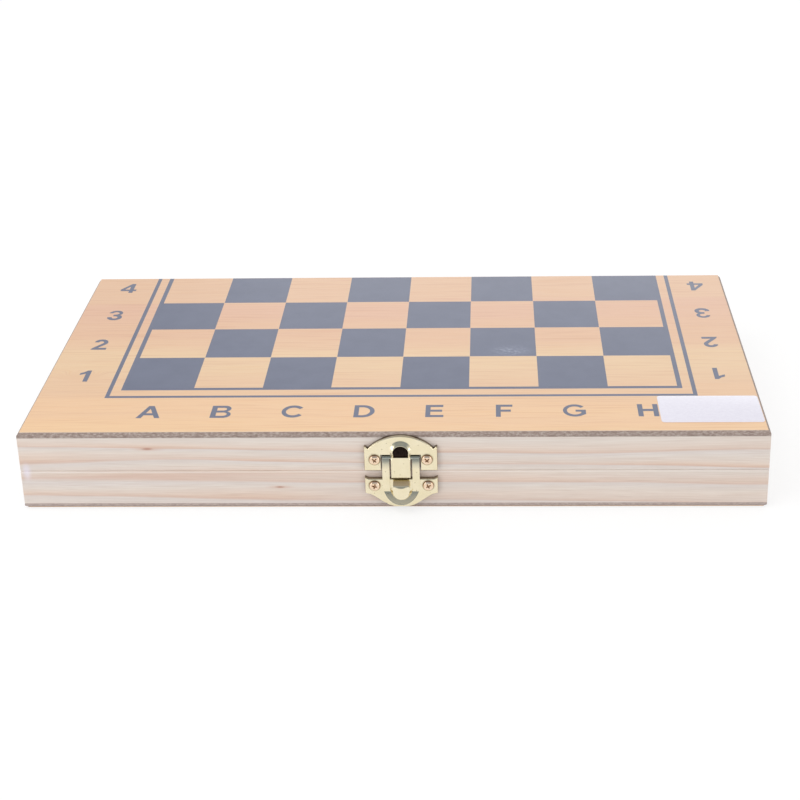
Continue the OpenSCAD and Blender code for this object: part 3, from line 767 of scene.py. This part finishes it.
for step in range(BAND_STEPS):
    before = wide_r - step * HOLE_BAND / BAND_STEPS
    after = wide_r - (step + 1) * HOLE_BAND / BAND_STEPS
    edge_verts = {
        v for v in plate.verts
        if abs(from_hole(v) - before) < BAND_CATCH and v.co.z > (HOLE_LOW - NEAR) * MM
    }
    arch = [edge for edge in plate.edges if edge.is_boundary and edge_verts.issuperset(edge.verts)]
    for vert in only_verts(bmesh.ops.extrude_edge_only(plate, edges=arch)["geom"]):
        ratio = after / from_hole(vert)
        vert.co.x *= ratio
        vert.co.z += max(vert.co.z - HOLE_Z * MM, 0) * (ratio - 1)
print("band of", len(arch), "edges, drawn in", BAND_STEPS, "times")

# %% Relief and strap
# The hill falls by a quarter above the hole. It starts just inside the strap's line and
# ends at its foot, which is steep beside the loop's arms, as they need room to swing up.
HILL_FALL, HILL_START, HILL_FOOT, FOOT_SPREAD, SPREAD_UP = 0.25, -0.3, 1.1, 1.2, 2.2
STRAP_DIP, STRAP_BLEND = 0.12, 2.4


def hill(x, z):
    """How far the metal stands in front of the plate's face, in millimetres."""
    rise = STRAP_OUT - PLATE_OUT
    if z < SLOT_TOP - NEAR and abs(x) > STRAP_HALF + NEAR:
        return 0
    beyond = math.hypot(x, max(z - HOLE_Z, 0)) - HOLE_R
    foot = HILL_FOOT + FOOT_SPREAD * smooth(SLOT_TOP, SLOT_TOP + SPREAD_UP, z)
    height = rise * (1 - HILL_FALL * smooth(HOLE_Z - 1, HOLE_Z + HOLE_R, z))
    height *= 1 - smooth(HILL_START, foot, beyond)
    strap = rise - STRAP_DIP * smooth(PLATE_LOW, -STRAP_LOW, z) ** 2
    return height + (strap - height) * smooth(SLOT_TOP, SLOT_TOP - STRAP_BLEND, z)


for vert in plate.verts:
    if vert.co.y < NEAR * MM:
        vert.co.y -= hill(vert.co.x / MM, vert.co.z / MM) * MM
    vert.co.y -= PLATE_OUT * MM
mirrored(plate)
finished(plate, "arched_plate", "lid", brass, ["latch_plate"], sheet=BRASS_T, edge=0.08)

# %% [markdown]
# ## The lower plate and its bill
# The lower pressing has the same turned rim and horned corners. The bill is a tongue
# that leaves the plate near its top, runs out as a shelf and turns down over the loop.

# %% Lower plate
CATCH_TOP, CATCH_CORNER, CATCH_LOW, HORN = 2.8, 9.1, 15.2, 0.7

lower = bmesh.new()
trace(
    lower, (0, -CATCH_TOP), (half - 1.5, -CATCH_TOP), (half, HORN - CATCH_TOP), (half, -CATCH_CORNER),
    (half - 2.2, -CATCH_CORNER - 0.6), (half - 4.4, -CATCH_CORNER - 2.0),
    (half - 6.8, -CATCH_CORNER - 3.8), (half - 9.1, -CATCH_CORNER - 5.2),
    (half - 11.3, -CATCH_LOW + 0.15), (0, -CATCH_LOW),
)
fill(lower)
turn_back(lower, [edge for edge in lower.edges if max(v.co.x for v in edge.verts) > NEAR * MM])
bmesh.ops.translate(lower, verts=lower.verts[:], vec=(0, -PLATE_OUT * MM, 0))
mirrored(lower)
finished(lower, "catch_pressing", "lower_half", brass, ["catch_plate"], sheet=BRASS_T, edge=0.08)

# %% Bill
BILL_W, BILL_OUT, BILL_LOW, BILL_T = 6.2, 5.2, 10.0, 0.8
ROOT_OUT, ROOT_LOW, ROOT_TOP, SHELF_DROP = 1.3, 1.6, 0.3, 1.5
BILL_CROWN, CROWN_START, CROWN_FULL = 0.3, 5.2, 6.4
BILL_BEND, BENDS_SAVE, BEND_STEPS = 0.55, 0.75, 8


def lay(made, path, radius):
    """Lays a flat strip, drawn down from z = 0, along (out, z) points with rounded bends."""
    points = [Vector(path[0])]
    for before, corner, after in zip(path, path[1:], path[2:]):
        before, corner, after = Vector(before), Vector(corner), Vector(after)
        u, v = (before - corner).normalized(), (after - corner).normalized()
        reach = radius / math.tan(u.angle(v) / 2)
        start, end = corner + u * reach, corner + v * reach
        for t in (k / BEND_STEPS for k in range(BEND_STEPS + 1)):
            points.append(start.lerp(corner, t).lerp(corner.lerp(end, t), t))
    points.append(Vector(path[-1]))
    lengths = [0]
    for a, b in zip(points, points[1:]):
        lengths.append(lengths[-1] + (b - a).length)
    for vert in made.verts:
        s = min(-vert.co.z / MM, lengths[-1])
        k = max(i for i in range(len(points) - 1) if lengths[i] <= s + 1e-9)
        t = (s - lengths[k]) / (lengths[k + 1] - lengths[k])
        out, z = points[k].lerp(points[k + 1], t)
        vert.co.y, vert.co.z = vert.co.y - out * MM, z * MM


def path_length(path):
    """The length of straight runs through the points of a path."""
    return sum((Vector(b) - Vector(a)).length for a, b in zip(path, path[1:]))


face_out = BILL_OUT - BILL_T / 2
bill_path = [
    (ROOT_OUT, -CATCH_TOP - ROOT_LOW), (ROOT_OUT, ROOT_TOP - CATCH_TOP),
    (face_out, -CATCH_TOP - SHELF_DROP), (face_out, -BILL_LOW),
]
bill_length = path_length(bill_path) - BENDS_SAVE
bill_r = BILL_W / 2
bill = bmesh.new()
trace(bill, (0, 0), (bill_r, 0), (bill_r, bill_r - bill_length), (0, bill_r - bill_length, -90))
fill(bill)
slice_up(bill, 0.4, 0)
slice_up(bill, 0.25, 2)
# The bill's face is crowned across its width, and the shelf above it is flat.
for vert in bill.verts:
    crown = BILL_CROWN * smooth(CROWN_START, CROWN_FULL, -vert.co.z / MM)
    vert.co.y -= crown * (1 - (vert.co.x / MM / bill_r) ** 2) * MM
lay(bill, bill_path, BILL_BEND)
mirrored(bill)
finished(bill, "bill", "lower_half", brass, sheet=BILL_T, offset=0, edge=0.1)

# %% [markdown]
# ## The swinging loop
# One strip with a window: rolled round its bar at the top, two straight arms, and a lip
# turned out at the bottom for a finger. The window drops over the bill.

# %% Loop
PIVOT_Z, PIVOT_OUT, BAR_R = 6.4, 1.0, 0.9
LOOP_W, WINDOW_W, WINDOW_LOW, LOOP_T = 14.4, 8.8, 10.7, 0.8
# The arms lean back to the bar above LEAN_END, and the lip turns out below the crease.
ARM_OUT, LEAN, LEAN_END, LEAN_SOFT = 2.3, math.tan(math.radians(15.5)), 3.3, 0.6
CREASE_LOW, LIP_L, LIP_ANGLE, LIP_EXTRA = 7.7, 5.4, math.radians(30), 0.2
LIP_SLOPE, LIP_CURVE, LIP_DISH = 0.38, 0.035, 0.5

lip_low = CREASE_LOW + LIP_L * math.cos(LIP_ANGLE) + LIP_EXTRA
window_r, end_r, bar_r = WINDOW_W / 2, LOOP_W / 2, BAR_R - LOOP_T / 2
loop = bmesh.new()
trace(
    loop, (0, -WINDOW_LOW), (0, window_r - WINDOW_LOW, 90), (window_r, PIVOT_Z),
    (end_r, PIVOT_Z), (end_r, end_r - lip_low), (0, end_r - lip_low, -90),
)
fill(loop)
slice_up(loop, 0.6, 0)
slice_up(loop, 0.3, 2)


def arm(z):
    """Distance of the loop's middle surface in front of the wood, with soft bends."""
    leaning = LEAN * LEAN_SOFT * math.log1p(math.exp((z - LEAN_END) / LEAN_SOFT))
    below = max(-z - CREASE_LOW, 0)
    return ARM_OUT - leaning + LIP_SLOPE * below + LIP_CURVE * below**2


for vert in loop.verts:
    x, z = vert.co.x / MM, vert.co.z / MM
    dish = LIP_DISH * smooth(-CREASE_LOW, -lip_low, z) * (x / end_r) ** 2
    vert.co.y = -(arm(z) + dish) * MM
mirrored(loop)
along_x = Matrix.Rotation(math.radians(90), 4, "Y")
bmesh.ops.create_cone(
    loop, cap_ends=False, segments=40, depth=LOOP_W * MM, radius1=bar_r * MM, radius2=bar_r * MM,
    matrix=Matrix.Translation(Vector((0, -PIVOT_OUT, PIVOT_Z)) * MM) @ along_x,
)
finished(
    loop, "swing_loop", "latch_loop", shaded_loop_brass, ["latch_loop"],
    sheet=LOOP_T, offset=0, edge=0.1,
)

# %% [markdown]
# ## Screws
# Round-headed screws with a cross recess hold both plates. A profile is spun into the
# head, and two crossed wedges are cut out of it. Each screw stopped at its own angle.

# %% Latch screws
HEAD_R, HEAD_H = 2.2, 0.9
# The dome as (radius, height) points, from near its top to its rim on the plate.
DOME = ((1.1, 0.88), (1.65, 0.76), (2.0, 0.52), (HEAD_R, 0.2), (HEAD_R, 0))
# A wedge's length, depth and width, and how much shorter and narrower its bottom is.
WEDGE, WEDGE_TAPER, WEDGE_OUT = (3.0, 1.2, 0.74), (0.45, 0.5), 0.8


def placed(made, name):
    """A helping object for a cut, from a mesh that is ready made."""
    mesh = bpy.data.meshes.new(name)
    made.to_mesh(mesh)
    made.free()
    holder = bpy.data.objects.new(name, mesh)
    scene.collection.objects.link(holder)
    return holder


def wedge(turn, place):
    """One bar of a cross recess, narrower towards its bottom."""
    made = bmesh.new()
    bmesh.ops.create_cube(made, size=1)
    bmesh.ops.scale(made, verts=made.verts[:], vec=Vector(WEDGE) * MM)
    for vert in made.verts:
        if vert.co.y > 0:
            vert.co.x *= WEDGE_TAPER[0]
            vert.co.z *= WEDGE_TAPER[1]
    turned = Matrix.Rotation(math.radians(turn), 3, "Y")
    bmesh.ops.rotate(made, verts=made.verts[:], cent=(0, 0, 0), matrix=turned)
    bmesh.ops.translate(made, verts=made.verts[:], vec=place)
    return placed(made, "wedge")


def blank_head(place):
    """A head without its recess: the dome's profile and its flat back, spun round."""
    head = bmesh.new()
    last = head.verts.new((0, -HEAD_H * MM, 0))
    for radius, height in DOME + ((0, 0),):
        last = bmesh.ops.extrude_vert_indiv(head, verts=[last])["verts"][0]
        last.co = (radius * MM, -height * MM, 0)
    bmesh.ops.spin(
        head, geom=head.verts[:] + head.edges[:], cent=(0, 0, 0), axis=(0, 1, 0),
        angle=math.tau, steps=40, use_merge=True,
    )
    bmesh.ops.remove_doubles(head, verts=head.verts[:], dist=SAME)
    bmesh.ops.recalc_face_normals(head, faces=head.faces[:])
    bmesh.ops.translate(head, verts=head.verts[:], vec=place)
    return placed(head, "head")


def screw_heads(name, body, node, x, z, turns):
    """The two heads of one plate, cut and joined into one piece."""
    made = bmesh.new()
    for side, turn in zip((-1, 1), turns):
        place = LATCH + Vector((side * x, -PLATE_OUT, z)) * MM
        blank = blank_head(place)
        recess = place - Vector((0, WEDGE_OUT * MM, 0))
        tools = [wedge(turn + quarter, recess) for quarter in (0, 90)]
        for tool in tools:
            cut = blank.modifiers.new("recess", "BOOLEAN")
            cut.operation, cut.solver, cut.object = "DIFFERENCE", "EXACT", tool
        made.from_mesh(shown_mesh(blank))
        for used in [blank] + tools:
            bpy.data.objects.remove(used)
    finished(made, name, body, copper, [node], edge=0.06, at=(0, 0, 0))


screw_heads("upper_screw_heads", "lid", "latch_screws", *UPPER_SCREW, (40, 48))
screw_heads("lower_screw_heads", "lower_half", "catch_screws", *LOWER_SCREW, (15, 62))

# %% [markdown]
# ## The spring behind the hole
# A leaf of blued spring steel lies behind the arched hole, and its dark colour is painted
# shade that makes the hole look dark. It leans from the back of the plate to the front of
# the rolled bar and holds the loop still.

# %% Leaf spring
LEAF_HALF, LEAF_T, LEAF_BEND = 3.6, 0.2, 0.5
leaf_path = [(0.25, 13.3), (0.25, 12.6), (2.05, 7.6), (2.05, 7.0)]
leaf_length = path_length(leaf_path)
leaf = bmesh.new()
trace(leaf, (0, 0), (LEAF_HALF, 0), (LEAF_HALF, -leaf_length), (0, -leaf_length))
fill(leaf)
slice_up(leaf, 0.3, 2)
lay(leaf, leaf_path, LEAF_BEND)
mirrored(leaf)
finished(leaf, "leaf_spring", "lid", spring, sheet=LEAF_T, offset=0)

# %% [markdown]
# ## Letters and numbers
# The files carry A to H and the ranks 1 to 8, upright for the near player and turned
# for the far one. They are generic board coordinates in a bold sans letter. Each
# character is traced ten units high with the runs and turns that shaped the brass, so
# its strokes keep an even weight, and then it is scaled to its printed size.

# %% Characters
CHARACTERS = {
    "A": [
        [(0, 0), (3.8, 10), (6.05, 10), (9.9, 0), (7.65, 0), (6.8, 2.3), (2.95, 2.3), (2.15, 0)],
        [(3.55, 3.95), (6.2, 3.95), (4.87, 7.6)],
    ],
    "B": [
        [(0, 0), (0, 10), (4.6, 10), (4.6, 7.45, -150), (4.7, 2.75, -154.75)],
        [(2, 8.3), (4.4, 8.3), (4.4, 7.15, -180), (2, 6)],
        [(2, 4.35), (4.6, 4.35), (4.6, 3, -180), (2, 1.65)],
    ],
    "C": [[(9.06, 8.17), (5, 5, 284), (7.56, 3), (5, 5, -284)]],
    "D": [
        [(0, 0), (0, 10), (3.6, 10), (3.6, 5, -180)],
        [(2, 8.3), (3.4, 8.3), (3.4, 5, -180), (2, 1.7)],
    ],
    "E": [[
        (0, 0), (0, 10), (7.1, 10), (7.1, 8.3), (2, 8.3), (2, 6.05), (6.7, 6.05), (6.7, 4.4),
        (2, 4.4), (2, 1.7), (7.3, 1.7), (7.3, 0),
    ]],
    "F": [[
        (0, 0), (0, 10), (6.9, 10), (6.9, 8.3), (2, 8.3), (2, 5.9), (6.2, 5.9), (6.2, 4.2),
        (2, 4.2), (2, 0),
    ]],
    "G": [[
        (8.945, 8.31), (5, 5, 272), (9.75, 1.95), (9.75, 5.6), (5.3, 5.6), (5.3, 3.95),
        (7.75, 3.95), (7.75, 2.95), (5, 5, -283.3),
    ]],
    "H": [[
        (0, 0), (0, 10), (2, 10), (2, 6.05), (6, 6.05), (6, 10), (8, 10), (8, 0), (6, 0),
        (6, 4.3), (2, 4.3), (2, 0),
    ]],
    "1": [[
        (2.55, 0), (2.55, 7.25), (0.15, 5.95), (0.15, 7.65), (1.75, 8.65), (2.9, 10), (4.45, 10),
        (4.45, 0),
    ]],
    "2": [[
        (0.33, 7.42), (3.35, 7, -212), (2.85, 1.8), (6.75, 1.8), (6.75, 0), (0, 0), (0.35, 1.3),
        (4.27, 6.23), (3.35, 7, 212),
    ]],
    "3": [[
        (0.6, 7.44), (3.3, 7.35, -226.8), (3.35, 2.9, -236.45), (2.2, 3.2), (3.35, 2.9, 284.6),
        (2.55, 4.09), (2.55, 5.75), (3.3, 5.9), (3.3, 7.2, 262),
    ]],
    "4": [
        [
            (4.05, 0), (4.05, 2.05), (0, 2.05), (0, 3.75), (4.2, 10), (5.95, 10), (5.95, 3.7),
            (7.25, 3.7), (7.25, 2.05), (5.95, 2.05), (5.95, 0),
        ],
        [(4.05, 3.7), (4.05, 7.1), (1.85, 3.7)],
    ],
    "5": [[
        (1.35, 9.9), (6.15, 9.9), (6.15, 8.15), (2.75, 8.15), (2.5, 6.44), (3.35, 3.25, -277),
        (2, 3), (3.35, 3.25, 294.5), (0.45, 4.75),
    ]],
    "6": [
        [(0.05, 3.3), (6.3, 3.6, -74.7), (5.55, 8.35), (6.3, 3.6, 43.6), (3.4, 3.3, -286)],
        [(1.85, 3.3), (3.4, 3.3, 360)],
    ],
    "7": [[
        (0, 9.9), (6.7, 9.9), (6.7, 8.45), (4.9, 5), (3.95, 0), (2, 0), (2.75, 4.3), (4.45, 8.1),
        (0, 8.1),
    ]],
    "8": [
        [(1.585, 5.4), (3.4, 7.4, -275.6), (3.4, 2.95, -287)],
        [(2.2, 7.45), (3.4, 7.45, 360)],
        [(2, 2.95), (3.4, 2.95, 360)],
    ],
}
CAP = 10.0
WIDTHS = dict(A=9.5, B=8.0, C=8.2, D=8.1, E=7.1, F=6.5, G=8.9, H=8.0)
WIDTHS.update({"1": 4.4, "2": 6.6, "3": 6.6, "4": 7.2, "5": 6.6, "6": 6.6, "7": 6.6, "8": 6.6})
print(len(CHARACTERS), "characters,", CAP, "mm high")

# %% Lettering
INK_T = 0.02
# From outside, the frame is a line, a gap and a second line, which the squares touch.
LINE_W, LINE_GAP, LINE_GAP_FRONT, CLOSING_LINE = 1.7, 3.7, 4.9, 0.17
print_low, print_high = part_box("upper_print_dark")
squares_left = print_low.x / MM + 2 * LINE_W + LINE_GAP
squares_right = print_high.x / MM - 2 * LINE_W - LINE_GAP
squares_depth = (hinge_y - print_low.y) / MM - 2 * LINE_W - LINE_GAP_FRONT
squares_middle = (squares_left + squares_right) / 2
# The letters stand a little unevenly under their files, as printed.
FILE_CENTRES = dict(A=-98.0, B=-69.6, C=-41.6, D=-13.1, E=14.5, F=41.8, G=69.2, H=97.9)
FILES_OUT = 131.9
# Each column of numbers: its place across, its middle out from the hinge line, and the
# step between ranks. A slant moves each number a little to the right of the one before.
RANKS_LEFT, RANKS_RIGHT, RANK_SLANT = (-129.4, 55.6, 29.8), (131.4, 56.4, 29.4), 0.25


def lay_flat(made):
    """Lays an upright outline on its back, with its face up."""
    flat = Matrix.Rotation(math.radians(-90), 3, "X")
    bmesh.ops.rotate(made, verts=made.verts[:], cent=(0, 0, 0), matrix=flat)
    bmesh.ops.reverse_faces(made, faces=[face for face in made.faces if face.normal.z < 0])


def add_shape(made, outlines, width, height, x, y, turned=False):
    """Adds filled outlines, fitted to a size and laid flat with their middle at (x, y)."""
    shape = bmesh.new()
    for outline in outlines:
        trace(shape, *outline)
    fill(shape)
    low = Vector([min(v.co[i] for v in shape.verts) for i in range(3)])
    high = Vector([max(v.co[i] for v in shape.verts) for i in range(3)])
    bmesh.ops.translate(shape, verts=shape.verts[:], vec=-(low + high) / 2)
    fit = (width * MM / (high - low).x, 1, height * MM / (high - low).z)
    bmesh.ops.scale(shape, verts=shape.verts[:], vec=fit)
    lay_flat(shape)
    if turned:
        about_face = Matrix.Rotation(math.pi, 3, "Z")
        bmesh.ops.rotate(shape, verts=shape.verts[:], cent=(0, 0, 0), matrix=about_face)
    bmesh.ops.translate(shape, verts=shape.verts[:], vec=Vector((x, y, INK_T)) * MM)
    mesh = bpy.data.meshes.new("shape")
    shape.to_mesh(mesh)
    shape.free()
    made.from_mesh(mesh)


def lettering(name, body, ranks, far_side):
    """All characters of one half of the board, and the line that closes the squares."""
    made = bmesh.new()
    sign = 1 if far_side else -1
    for mark, x in FILE_CENTRES.items():
        x, y = squares_middle + x, sign * FILES_OUT
        add_shape(made, CHARACTERS[mark], WIDTHS[mark], CAP, x, y, far_side)
    for k, mark in enumerate(ranks):
        for (start, middle, step), turned in ((RANKS_LEFT, False), (RANKS_RIGHT, True)):
            x, y = start + RANK_SLANT * k, sign * middle + step * (k - 1.5)
            add_shape(made, CHARACTERS[mark], WIDTHS[mark], CAP, x, y, turned)
    half_w = (squares_right - squares_left) / 2
    outer, inner = half_w + CLOSING_LINE, half_w - CLOSING_LINE
    depth, inner_depth = squares_depth + CLOSING_LINE, squares_depth - CLOSING_LINE
    border = [
        (-outer, 0), (-outer, -depth), (outer, -depth), (outer, 0),
        (inner, 0), (inner, -inner_depth), (-inner, -inner_depth), (-inner, 0),
    ]
    add_shape(made, [border], 2 * outer, depth, squares_middle, sign * depth / 2, far_side)
    if far_side:
        upside_down = Matrix.Rotation(math.pi, 3, "X")
        bmesh.ops.rotate(made, verts=made.verts[:], cent=(0, 0, 0), matrix=upside_down)
    at = (0, hinge_y, 0 if far_side else top_z)
    finished(made, name, body, ink, sheet=INK_T, at=at)


lettering("lid_lettering", "lid", "1234", False)
lettering("base_lettering", "lower_half", "5678", True)

# %% [markdown]
# ## The blank sticker
# A plain white sticker with rounded corners covers the end of the H. Its outline is
# traced with quarter turns at the corners, and it gets its thickness from the solid.

# %% Sticker
CORNER = 1.4
label_low, label_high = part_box("blank_label")
wide, deep, thick = (label_high - label_low) / MM
patch = bmesh.new()
trace(
    patch, (wide - CORNER, 0), (wide - CORNER, CORNER, 90),
    (wide, deep - CORNER), (wide - CORNER, deep - CORNER, 90),
    (CORNER, deep), (CORNER, deep - CORNER, 90), (0, CORNER), (CORNER, CORNER, 90),
)
fill(patch)
lay_flat(patch)
bmesh.ops.translate(patch, verts=patch.verts[:], vec=(0, 0, thick * MM))
finished(
    patch, "white_sticker", "lid", sticker, ["blank_label"],
    sheet=thick, edge=0.03, at=label_low,
)
